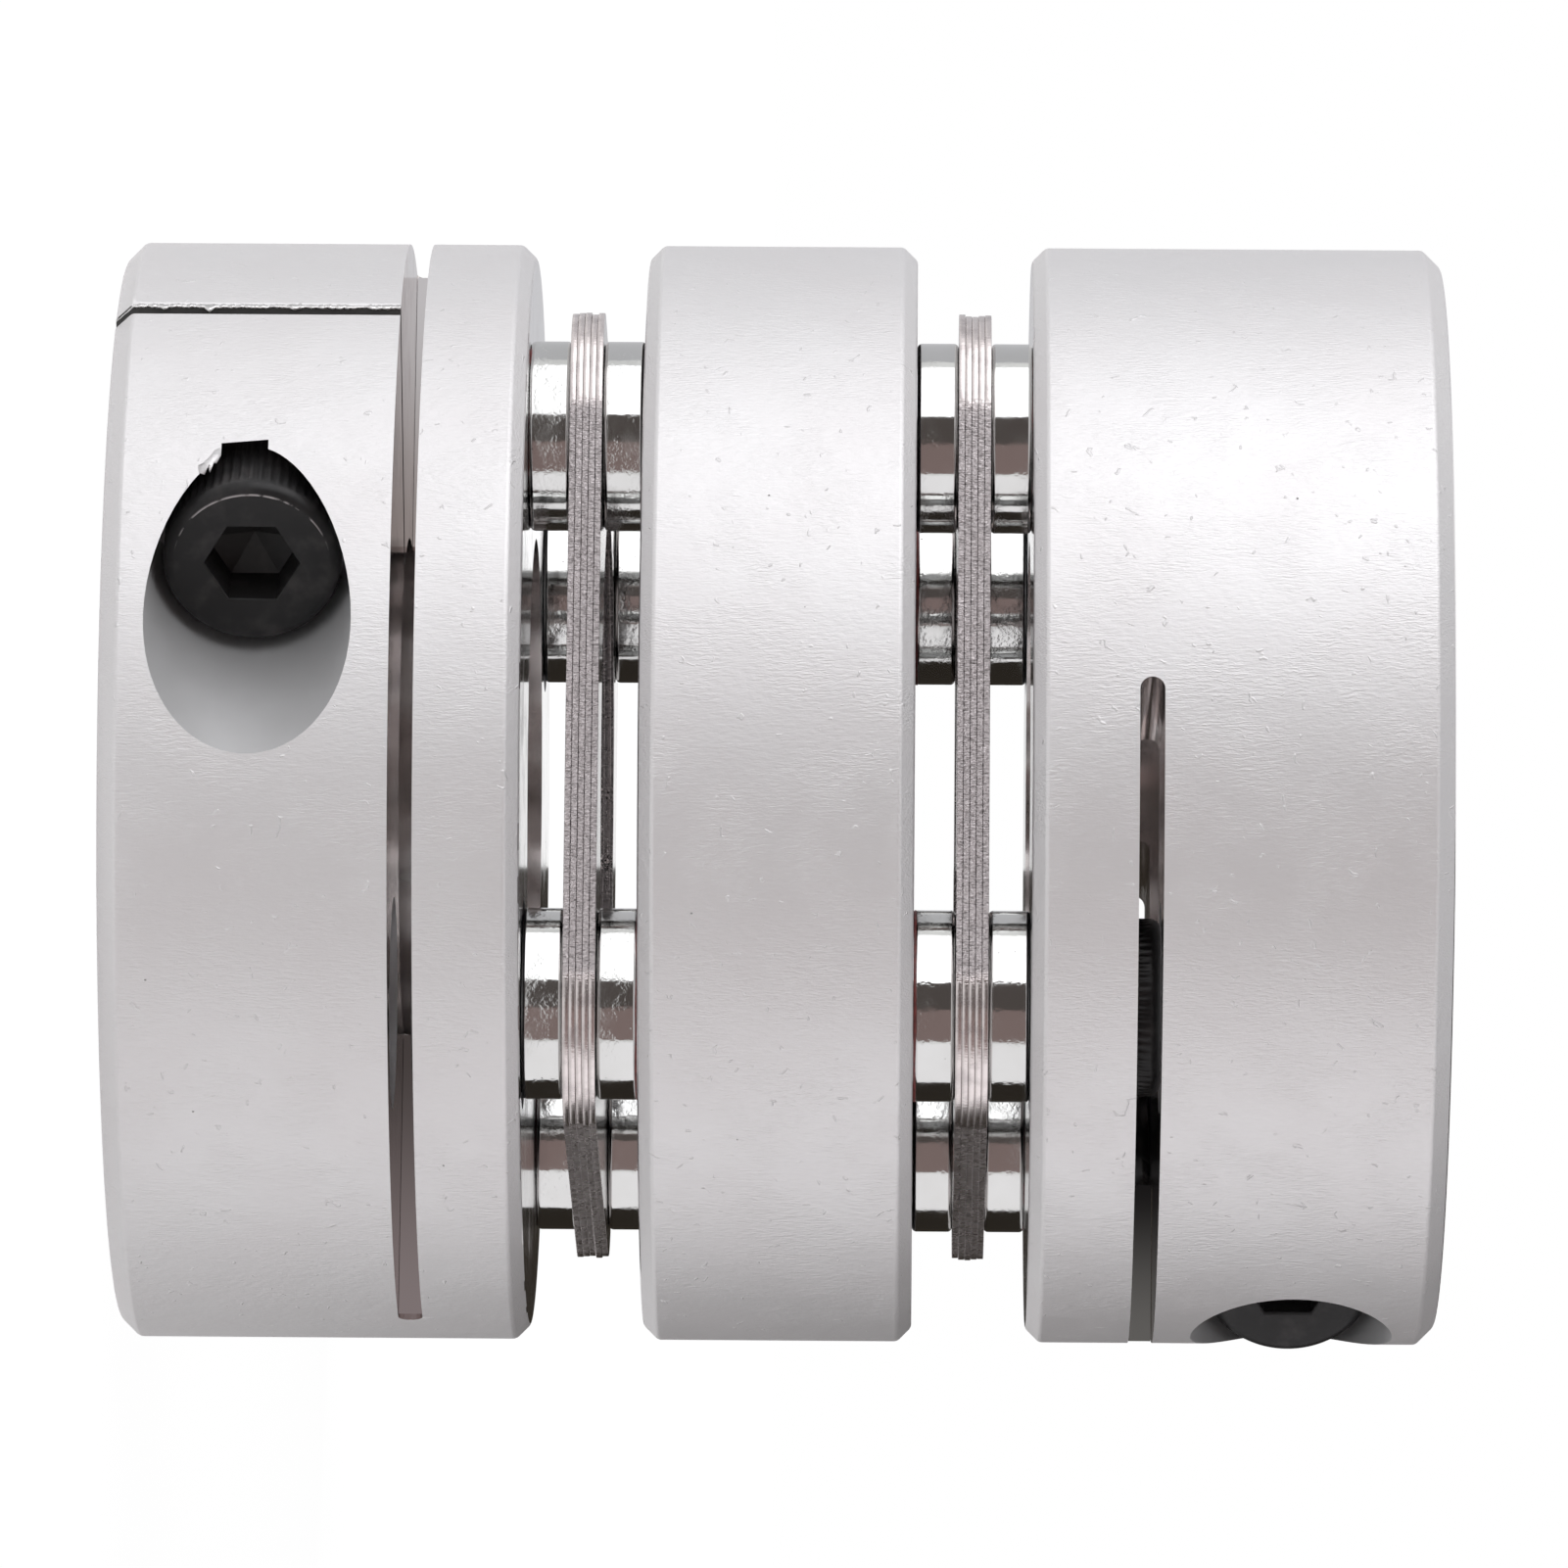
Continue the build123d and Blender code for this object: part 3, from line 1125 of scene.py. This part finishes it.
@dataclass
class DiscPack:
    """A pack of spring leaves, each a square with round corners at the screws and a round opening."""

    node: str
    finish: Material
    face_finish: Material
    leaves: int = 5
    corner_radius: float = 9.2 * MM
    bore_radius: float = 21.0 * MM
    bore_steps: int = 96
    hole_steps: int = 24
    arc_steps: int = 24
    edge_softening: float = 0.045 * MM
    edge_angles: Point = (80, 100)
    seam: float = 0.014 * MM
    stray: float = 0.10 * MM

    def outline(self) -> list[Vector]:
        """The leaf's outer edge, as an arc round each of the four screws.

        Returns:
            Its points, in order.
        """
        turns = [step / self.arc_steps - 0.5 for step in range(self.arc_steps + 1)]
        quarter = FULL_TURN / 4
        return [
            around(corner * quarter, SCREW_CIRCLE) + around((corner + turn) * quarter, self.corner_radius)
            for corner in range(4)
            for turn in turns
        ]

    def leaf(self, thickness: float) -> BMesh:
        """One leaf, lying on the plane z = 0.

        Args:
            thickness: The sheet's thickness.

        Returns:
            Its mesh.
        """
        bm = bmesh.new()
        rims = [bm.edges.new(pair) for pair in looped([bm.verts.new(point) for point in self.outline()])]
        openings = [(Vector(), self.bore_radius, self.bore_steps)]
        screws = [around(screw * FULL_TURN / 4, SCREW_CIRCLE) for screw in range(4)]
        openings += [(screw, THREAD_HOLE_RADIUS, self.hole_steps) for screw in screws]
        for centre, radius, steps in openings:
            rims += circle(bm, centre, radius, steps)
        bmesh.ops.triangle_fill(bm, use_beauty=True, use_dissolve=False, edges=rims, normal=UP)
        bmesh.ops.translate(bm, verts=thickened(bm), vec=(0, 0, thickness))
        bmesh.ops.recalc_face_normals(bm, faces=bm.faces)
        outside = self.bore_radius + 1 * MM
        sharp = edges_between(bm, *self.edge_angles)
        rim = [e for e in sharp if all(v.co.xy.length > outside for v in e.verts)]
        rim = [e for e in rim if abs(e.verts[0].co.z - e.verts[1].co.z) < 0.1 * WELD and not self.at_hole(e)]
        softened(bm, rim, self.edge_softening)
        return bm

    @staticmethod
    def at_hole(edge: BMEdge) -> bool:
        """Whether an edge lies on a screw hole's rim."""
        middle = (edge.verts[0].co.xy + edge.verts[1].co.xy) / 2
        small, large = sorted((abs(middle.x), abs(middle.y)))
        return math.hypot(large - SCREW_CIRCLE, small) < THREAD_HOLE_RADIUS * 1.1

    def build(self) -> Object:
        """Stacks the leaves, each a hair out of line with the next.

        Returns:
            The new object.
        """
        low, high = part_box(self.node)
        pitch = (high.z - low.z) / self.leaves
        chance = random.Random(self.node)
        shrink = 1 - self.stray / SCREW_CIRCLE
        bm = bmesh.new()
        for number in range(self.leaves):
            leaf = self.leaf(pitch - self.seam)
            drift = Vector((chance.uniform(-1, 1), chance.uniform(-1, 1), 0)) * self.stray
            lift = Vector((0, 0, low.z + number * pitch + self.seam / 2))
            leaf.transform(Matrix.Translation(drift + lift) @ Matrix.Diagonal((shrink, shrink, 1, 1)))
            join(bm, leaf)
        for face in bm.faces:
            face.material_index = int(abs(face.normal.z) > 0.99)
        materials = (self.finish, self.face_finish)
        return Piece(f"{self.node}_leaves", materials, "spring_steel", (self.node,)).made_of(bm)


@dataclass
class Collar:
    """A round zinc-plated collar between the leaves and a ring."""

    node: str
    finish: Material
    edge_radius: float = 0.34 * MM
    steps: int = 96

    def build(self) -> Object:
        """Makes the collar in the box of its CAD node.

        Returns:
            The new object.
        """
        low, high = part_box(self.node)
        radius, levels = (high.x - low.x) / 2, (0.0, high.z - low.z)
        bm = turned_ring(THREAD_HOLE_RADIUS, radius, levels, self.edge_radius, 4, self.steps)
        centre = (low + high) / 2
        bm.transform(Matrix.Translation((centre.x, centre.y, low.z)))
        return Piece(f"{self.node}_turned", (self.finish,), "zinc_plate", (self.node,)).made_of(bm)


@dataclass
class LockerBead:
    """The bead of threadlocker that was squeezed out between a collar and the ring that holds its screw."""

    name: str
    finish: Material
    centre: Vector
    inner_radius: float = 6.5 * MM
    width: float = 0.52 * MM
    height: float = 0.24 * MM
    unevenness: float = 0.05
    waves: int = 9
    steps: int = 72

    @classmethod
    def at_collar(cls, half: Half, number: int, finish: Material) -> LockerBead:
        """The bead at one screw of a pack: at the hub for a screw along X, and at the spacer for the others.

        Args:
            half: The half of the coupling.
            number: The screw's number, odd along X.
            finish: The bead's finish.

        Returns:
            The bead.
        """
        side = "hub" if number % 2 else "spacer"
        low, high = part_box(f"{side}_side_collar_{half.value}_{number}")
        at_top = (half is Half.LOWER) is (side == "spacer")
        level = high.z - cls.height / 2 if at_top else low.z + cls.height / 2
        centre = Vector(((low.x + high.x) / 2, (low.y + high.y) / 2, level))
        width = 0.30 * MM if side == "hub" else cls.width
        return cls(f"threadlocker_{half.value}_{number}", finish, centre, width=width)

    def build(self) -> Object:
        """Makes an uneven ring of it round the collar's rim.

        Returns:
            The new object.
        """
        half = self.height / 2
        outer = self.inner_radius + self.width
        bm = turned_ring(self.inner_radius, outer, (-half, half), half * 0.9, 3, self.steps)
        chance = random.Random(self.name)
        swell = [chance.uniform(-1, 1) for _ in range(self.waves)]
        for vertex in bm.verts:
            angle = math.atan2(vertex.co.y, vertex.co.x)
            ripple = sum(s * math.sin((n + 1) * angle + n) for n, s in enumerate(swell)) / len(swell)
            out = vertex.co.xy.length - self.inner_radius
            vertex.co.xy *= 1 + self.unevenness * ripple * out / self.width
        bm.transform(Matrix.Translation(self.centre))
        return Piece(self.name, (self.finish,), "zinc_plate").made_of(bm)


@dataclass
class SocketScrew:
    """A socket-head cap screw with a knurled head, built with its head up and then turned to its place.

    A washer lifts it out of its seat by its thickness, and extra thread reaches past the CAD screw's tip.
    """

    node: str
    finish: Material
    # The socket's finish is a little lighter than the head's: painted light inside the hollow.
    lit_socket_finish: Material
    facing: Facing
    head_height: float = 8.0 * MM
    top_edge: float = 0.8 * MM
    knurls: int = 60
    knurl_steps: int = 4
    knurl_depth: float = 0.22 * MM
    knurl_start: float = 0.25 * MM
    knurl_end: float = 6.24 * MM
    edge_steps: int = 5
    top_land: float = 0.08 * MM
    socket_across_flats: float = 6.0 * MM
    socket_depth: float = 4.0 * MM
    socket_mouth: float = 0.25 * MM
    socket_flare: float = 1.04
    socket_rim: float = 0.2 * MM
    drill_tip: float = 0.9 * MM
    thread_radius: float = 4.0 * MM
    thread_pitch: float = 1.25 * MM
    thread_depth: float = 0.60 * MM
    thread_steps: int = 32
    washer_edge: float = 0.15 * MM
    washer: float = 0.0
    extra_thread: float = 0.0

    def head(self) -> BMesh:
        """The head, from its seat at z = 0 to its top.

        Returns:
            Its mesh, open at the seat.
        """
        bm = bmesh.new()
        wear_and_highlight = bm.verts.layers.float.new(WEAR_AND_HIGHLIGHT)
        ring = circle(bm, Vector(), HEAD_RADIUS, self.knurls * self.knurl_steps)
        top, edge = self.head_height - self.top_edge, self.top_edge
        rows = [(height, 0.0, self.knurl_depth) for height in (self.knurl_start, self.knurl_end)]
        rows.append((top, 0.0, 0.0))
        for step in range(1, self.edge_steps + 1):
            angle = FULL_TURN / 4 * step / self.edge_steps
            rows.append((top + edge * math.sin(angle), edge * (1 - math.cos(angle)), 0.0))
        rows.append((self.head_height, edge + self.top_land, 0.0))
        height = 0.0
        for row_height, inset, depth in rows:
            points, ring = pulled(bm, ring, row_height - height)
            height = row_height
            at_rim = abs(inset - edge) < NEAR
            for vertex in points:
                angle = math.atan2(vertex.co.y, vertex.co.x)
                groove = 0.5 - 0.5 * math.cos(self.knurls * angle)
                vertex.co.xy = vertex.co.xy.normalized() * (HEAD_RADIUS - inset - depth * groove)
                # The bare rim grows towards the head's own -X side, where the light comes from: partly real
                # wear, partly painted highlight.
                vertex[wear_and_highlight] = math.sqrt(max(0.0, -math.cos(angle))) if at_rim else 0.0
        self.close_top(bm, ring)
        return bm

    def close_top(self, bm: BMesh, rim: list[BMEdge]) -> None:
        """Closes the head's top with its socket.

        Args:
            bm: The head, open at both ends.
            rim: The edges round its top.
        """
        corner = self.socket_across_flats / 2 / math.cos(math.radians(30))
        hexagon = circle(bm, Vector((0, 0, self.head_height)), corner * self.socket_flare, 6)
        bmesh.ops.triangle_fill(bm, use_beauty=True, use_dissolve=False, edges=rim + hexagon, normal=UP)
        for fall in (self.socket_mouth, self.socket_depth - self.socket_mouth):
            points, hexagon = pulled(bm, hexagon, -fall)
            for vertex in points:
                vertex.co.xy = vertex.co.xy.normalized() * corner
        tip, _ = pulled(bm, hexagon, -self.drill_tip)
        tip_at = (0, 0, self.head_height - self.socket_depth - self.drill_tip)
        bmesh.ops.pointmerge(bm, verts=tip, merge_co=tip_at)
        # The socket's faces take the lighter finish, which is painted light for a hollow the lamps hardly
        # reach.
        for face in bm.faces:
            middle = face.calc_center_median()
            if middle.xy.length < corner and middle.z < self.head_height - self.socket_rim:
                face.material_index = 1
                for edge in face.edges:
                    edge.smooth = False

    def shank(self, length: float) -> BMesh:
        """The threaded shank, from the seat down.

        Args:
            length: Its length below the seat.

        Returns:
            Its closed mesh.
        """
        pitch = self.thread_pitch
        turns = math.ceil(length / pitch) + 2
        root = self.thread_radius - self.thread_depth
        section = [(root, 0.0), (self.thread_radius, pitch / 2), (root, pitch)]
        bm = bmesh.new()
        points = [bm.verts.new((radius, 0, height - length - pitch)) for radius, height in section]
        profile = [*points, *(bm.edges.new(pair) for pair in zip(points, points[1:]))]
        rise = (0, 0, pitch / self.thread_steps)
        steps = self.thread_steps * turns
        bmesh.ops.spin(
            bm, geom=profile, axis=UP, cent=(0, 0, 0), dvec=rise, angle=FULL_TURN * turns, steps=steps,
            use_merge=False,
        )
        bmesh.ops.remove_doubles(bm, verts=bm.verts, dist=WELD)
        # The tip's cut lies a hair above a row of points, because a cut right through them leaves gaps.
        for level, keep_above in ((-length + 0.007 * MM, True), (-NEAR, False)):
            cut = bmesh.ops.bisect_plane(
                bm, geom=[*bm.verts, *bm.edges, *bm.faces], plane_co=(0, 0, level), plane_no=UP,
                clear_inner=keep_above, clear_outer=not keep_above,
            )
            bmesh.ops.edgeloop_fill(bm, edges=only(BMEdge, cut["geom_cut"]))
        return bm

    def build(self) -> Object:
        """Joins head and shank and puts the screw in the box of its CAD node.

        Returns:
            The new object.
        """
        low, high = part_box(self.node)
        direction = Vector(self.facing.value)
        span = abs((high - low).dot(direction))
        bm = self.head()
        bmesh.ops.edgeloop_fill(bm, edges=[edge for edge in bm.edges if edge.is_boundary])
        join(bm, self.shank(span - self.head_height + self.washer + self.extra_thread))
        bmesh.ops.recalc_face_normals(bm, faces=bm.faces)
        if self.washer:
            levels = (-self.washer, 0.0)
            join(bm, turned_ring(self.thread_radius, HEAD_RADIUS, levels, self.washer_edge, 2, 64))
        seat = (low + high) / 2 + direction * (span / 2 - self.head_height + self.washer)
        bm.transform(Matrix.Translation(seat) @ self.facing.turn())
        materials = (self.finish, self.lit_socket_finish)
        return Piece(f"{self.node}_turned", materials, "black_oxide", (self.node,)).made_of(bm)


# The studio


@dataclass(frozen=True)
class Card:
    """An upright card that faces the coupling. The metal reflects it and the camera doesn't see it.

    Its angle about the coupling's axis is in degrees, from the camera's side towards the camera's up. Its
    width lies across the axis and its height along it, and its tone is how bright it looks to the metal.
    """

    name: str
    angle: float
    distance: float
    width: float
    tone: Colour
    height: float = 0.9


@dataclass(frozen=True)
class Slip:
    """A narrow upright slip in a slot, for light or shade that would come from deep inside.

    It reaches from one distance to another along a level direction, and has a tone at each of these ends.
    """

    name: str
    along: Vector
    start: Vector
    reach: Point
    width: float
    tones: tuple[Colour, Colour]


@dataclass
class Studio:
    """The floor, the light and the camera, which looks across the coupling with its own up to one side."""

    towards_camera: Vector
    upwards: Vector
    distance: float = 1000 * MM
    focal_length: float = 306.0
    sensor_width: float = 36.0
    clip_end: float = 20.0
    roll: float = 0.373
    aim_height: float = 49.2 * MM
    aim_up: float = 0.72 * MM
    camera_rise: float = 9.6 * MM
    floor_side: float = 8.0
    floor_tone: float = 0.88
    floor_glow: float = 1.06
    floor_reflected: float = 0.5
    glow_share: float = 0.9
    backdrop_level: float = 0.7
    overhead_height: float = 0.60
    overhead_size: float = 0.8
    overhead_tone: Colour = (0.50, 0.50, 0.51)
    slot_direction: float = math.radians(222)
    slot_past_axis: float = 0.45 * MM
    slot_levels: Point = (21.9 * MM, 76.1 * MM)
    cards: tuple[Card, ...] = (
        Card("key", 60, 0.75, 1.01, (2.10, 2.10, 2.14), height=1.2),
        Card("dark_room", 11, 0.60, 0.34, (0.10, 0.085, 0.08)),
        Card("dim_room", -23, 0.60, 0.42, (0.27, 0.20, 0.19)),
        Card("table", -78, 0.45, 0.60, (1.12, 1.10, 1.12)),
        Card("under", -139, 0.30, 0.50, (0.03, 0.025, 0.02)),
        Card("behind", 140, 0.60, 0.90, (0.62, 0.62, 0.64)),
    )

    def camera(self) -> None:
        """Makes the camera, a long lens that looks at the coupling's middle."""
        data = bpy.data.cameras.new("camera")
        data.lens = self.focal_length
        data.sensor_width = self.sensor_width
        data.clip_end = self.clip_end
        aim = Vector((0, 0, self.aim_height)) + self.upwards * self.aim_up
        back = (self.towards_camera * self.distance + Vector((0, 0, self.camera_rise))).normalized()
        right = (UP - back * back.z).normalized()
        level = Matrix((right, back.cross(right), back)).transposed().to_4x4()
        turn = level @ Matrix.Rotation(math.radians(self.roll), 4, "Z")
        camera = bpy.data.objects.new("camera", data)
        camera.matrix_world = Matrix.Translation(aim + back * self.distance) @ turn
        bpy.context.scene.collection.objects.link(camera)
        bpy.context.scene.camera = camera

    @staticmethod
    def sheet(name: str, size: Point, material: Material, place: Matrix) -> Object:
        """Lays a flat sheet that belongs to the studio.

        Args:
            name: Its name.
            size: Its sides.
            material: Its material.
            place: Its middle and its directions.

        Returns:
            The new object.
        """
        bm = bmesh.new()
        bmesh.ops.create_grid(bm, x_segments=1, y_segments=1, size=0.5)
        bmesh.ops.scale(bm, verts=bm.verts, vec=(*size, 1))
        bm.transform(place)
        sheet = as_object(name, bm, material)
        return sheet

    def card(self, name: str, size: Point, tone: Colour, place: Matrix) -> None:
        """Hangs a card that the metal reflects and the camera doesn't see.

        Args:
            name: Its name.
            size: Its sides.
            tone: How bright it looks to the metal.
            place: Its middle and its directions.
        """
        paint = Paint.named(name)
        card = self.sheet(name, size, paint.ended(paint.glow(tone)), place)
        card.visible_camera = False
        card.visible_shadow = False

    def stand(self, card: Card) -> None:
        """Stands a card up.

        Args:
            card: The card.
        """
        turn = math.radians(card.angle)
        direction = self.towards_camera * math.cos(turn) + self.upwards * math.sin(turn)
        across = self.upwards * math.cos(turn) - self.towards_camera * math.sin(turn)
        middle = Matrix.Translation(direction * card.distance + Vector((0, 0, self.aim_height)))
        facing = Matrix((across, direction.cross(across), direction)).transposed().to_4x4()
        self.card(card.name, (card.width, card.height), card.tone, middle @ facing)

    def insert(self, slip: Slip) -> None:
        """Stands a slip in its slot, where the camera sees it too.

        Args:
            slip: The slip.
        """
        paint = Paint.named(slip.name)
        run = paint.along("X") * slip.along.x + paint.along("Y") * slip.along.y
        material = paint.ended(paint.glow(paint.mixed(run.rise(*slip.reach), *slip.tones)))
        turn = Matrix((slip.along, UP, slip.along.cross(UP))).transposed().to_4x4()
        place = Matrix.Translation(slip.start + slip.along * (sum(slip.reach) / 2)) @ turn
        size = (slip.reach[1] - slip.reach[0], slip.width)
        self.sheet(slip.name, size, material, place).visible_shadow = False

    def slips(self) -> tuple[Slip, ...]:
        """The slips inside the transverse slots.

        Returns:
            One of shade in the upper hub's slot, and two of light in the lower hub's.
        """
        lower_level, upper_level = self.slot_levels
        upper = Vector((0, 0, upper_level))
        lower = around(self.slot_direction, self.slot_past_axis) + Vector((0, 0, lower_level))
        across = around(self.slot_direction - FULL_TURN / 4, 1.0)
        shade = ((0.11, 0.105, 0.10), (0.010, 0.009, 0.009))
        above = ((0.27, 0.235, 0.225), (0.50, 0.48, 0.49))
        below = ((0.20, 0.165, 0.165), (0.055, 0.045, 0.043))
        return (
            Slip("slot_shade", self.upwards, upper, (-40.9 * MM, -29.2 * MM), 1.7 * MM, shade),
            Slip("slot_glow_above", across, lower, (19.2 * MM, 40.75 * MM), 1.75 * MM, above),
            Slip("slot_glow_below", across, lower, (-40.75 * MM, -19.2 * MM), 1.75 * MM, below),
        )

    def floor(self) -> None:
        """Lays the pale floor, which keeps the coupling's shadow and else is as white as the backdrop."""
        paint = Paint.named("pale_floor")
        matt = paint.node("ShaderNodeBsdfDiffuse", inputs={"Color": (*[self.floor_tone] * 3, 1.0)})
        white = paint.glow((1.0, 1.0, 1.0), strength=self.floor_glow)
        share = self.seen(paint, reflected=self.floor_reflected) * self.glow_share
        mix = paint.node("ShaderNodeMixShader", inputs={0: share, 1: matt.outputs[0], 2: white.outputs[0]})
        self.sheet("floor", (self.floor_side, self.floor_side), paint.ended(mix), Matrix.Identity(4))

    @staticmethod
    def seen(paint: Paint, reflected: float = 1.0) -> Number:
        """How much of the plain white shows to a ray.

        Args:
            paint: The material or world to add the nodes to.
            reflected: The share that shows to the rays that metal and glass send on.

        Returns:
            1 for the camera's own rays, and that share for the rays sent on.
        """
        path = paint.node("ShaderNodeLightPath")
        rays = ("Is Camera Ray", "Is Glossy Ray", "Is Transmission Ray")
        camera, glossy, through = (Number(paint, path.outputs[ray]) for ray in rays)
        return (camera + (glossy + through) * reflected).math("MINIMUM", 1.0)

    def backdrop(self) -> None:
        """Surrounds the scene with a white backdrop that lights it softly."""
        world = bpy.data.worlds.new("backdrop")
        bpy.context.scene.world = world
        paint = Paint(world)
        strength = self.seen(paint) * (1 - self.backdrop_level) + self.backdrop_level
        sky = paint.node("ShaderNodeBackground", inputs={"Color": (1.0, 1.0, 1.0, 1.0), "Strength": strength})
        paint.ended(sky, "ShaderNodeOutputWorld")

    def build(self) -> None:
        """Sets up the whole studio."""
        bpy.context.scene.view_settings.view_transform = "Standard"
        self.camera()
        self.floor()
        self.backdrop()
        for card in self.cards:
            self.stand(card)
        above = Matrix.Translation((0, 0, self.overhead_height))
        self.card("overhead", (self.overhead_size, self.overhead_size), self.overhead_tone, above)
        for slip in self.slips():
            self.insert(slip)
        LOG.info("studio ready")


def main() -> None:
    """Builds the coupling piece by piece and then its studio."""
    logging.basicConfig(level=logging.INFO, format="%(name)s %(message)s")
    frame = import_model()
    satin, torn = SatinAluminium().material(), torn_aluminium().material()
    bored = bored_aluminium("bored_aluminium", (0.67, 0.67, 0.675)).material()
    # The slit's walls take the bored finish in a much darker colour: painted shade for the narrow slit.
    slit = bored_aluminium("slit_aluminium_painted_shade", (0.23, 0.225, 0.22)).material()
    zinc, red = ZincPlate().material(), threadlocker().material()
    steel, rolled = PunchedSteel().material(), rolled_steel().material()
    black = BlackOxide().material()
    # The socket's slightly lighter colour is painted light, for a hollow that the lamps hardly reach.
    socket = BlackOxide("black_oxide_socket_painted_light", (0.025, 0.024, 0.024)).material()
    finishes = RingFinishes(satin, sawn_aluminium().material(), FacedAluminium().material(), bored, slit)

    nick = Nick((-38.17, -20.0, 8.5), (-34.0, -13.2, 11.9), lean=-0.04)
    tear = Nick((-41.88, 0.08, -1.0), (-40.88, 1.38, 21.2), turn=30)
    lower_bore, upper_bore = (-SCREW_CIRCLE, 10.75 * MM), (SCREW_CIRCLE, 87.25 * MM)
    MachinedRing("hub_lower", finishes, lower_bore, (nick, tear)).build(frame)
    MachinedRing("hub_upper", finishes, upper_bore, mouth_softening=0.3 * MM).build(frame)
    MachinedRing("spacer", finishes).build(frame)
    SlitBurr("slit_burr", torn).build()
    TornFlap("counterbore_flap", satin).build()
    for half in Half:
        DiscPack(f"disc_pack_{half.value}", steel, rolled).build()
        for number in range(1, 5):
            Collar(f"hub_side_collar_{half.value}_{number}", zinc).build()
            Collar(f"spacer_side_collar_{half.value}_{number}", zinc).build()
            LockerBead.at_collar(half, number, red).build()
        washer, thread = (1.5 * MM, 2.0 * MM) if half is Half.UPPER else (0.0, 0.0)
        inwards, outwards = (black, socket, half.inwards()), (black, socket, half.outwards())
        for number in (1, 2):
            SocketScrew(f"hub_screw_{half.value}_{number}", *inwards, extra_thread=thread).build()
            SocketScrew(f"spacer_screw_{half.value}_{number}", *outwards, washer=washer).build()
        SocketScrew(f"clamp_screw_{half.value}", black, socket, Facing.FRONT).build()

    camera_side, camera_up = Vector((-0.506, -0.8625, 0)), Vector((-0.8625, 0.506, 0))
    Studio(camera_side.normalized(), camera_up.normalized()).build()


if __name__ == "__main__":
    main()
